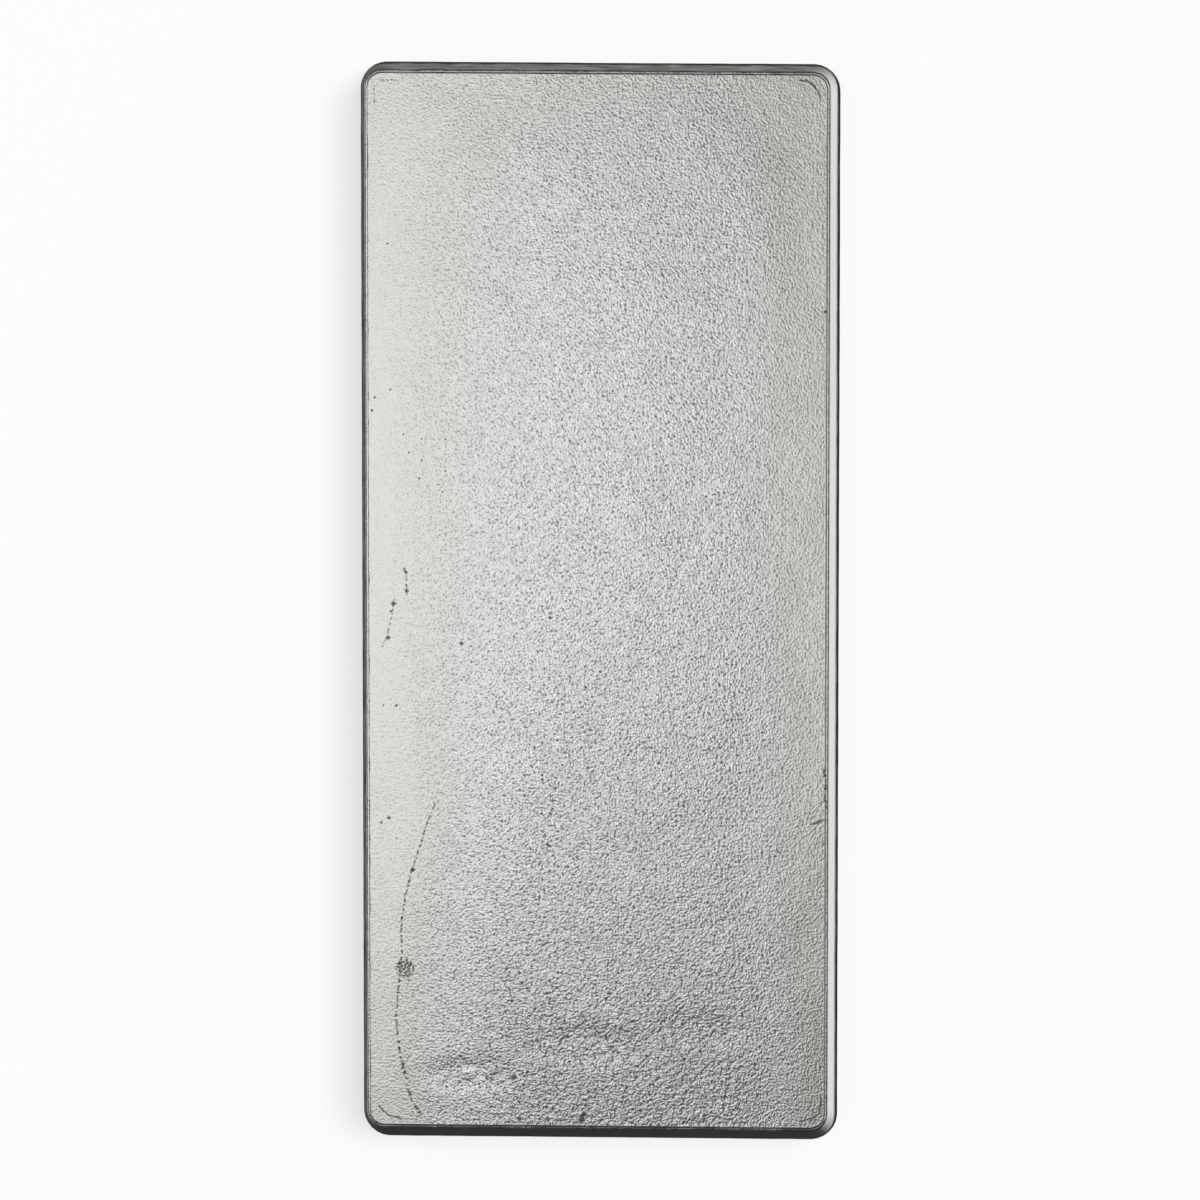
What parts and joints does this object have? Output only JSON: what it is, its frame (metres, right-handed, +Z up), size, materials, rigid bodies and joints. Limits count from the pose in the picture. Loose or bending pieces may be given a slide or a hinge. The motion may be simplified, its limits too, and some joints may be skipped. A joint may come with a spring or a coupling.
{
  "type": "metal ingot",
  "caption": "Cast silver-coloured metal bar with drafted walls, rounded upright corners, a fine ledge round its grained mould face and a slightly sunken fill face.",
  "frame": {"origin": "middle of the fill face's outline, on the surface that the bar lies on", "axes": "+Z up, out of the mould face; +Y along the bar to its slightly wider head end; +X across the bar"},
  "size_m": [0.0522, 0.117, 0.0166],
  "materials": {
    "cast_silver": "satin"
  },
  "bodies": {
    "root": {"ingot": "cast_silver"}
  },
  "joints": []
}
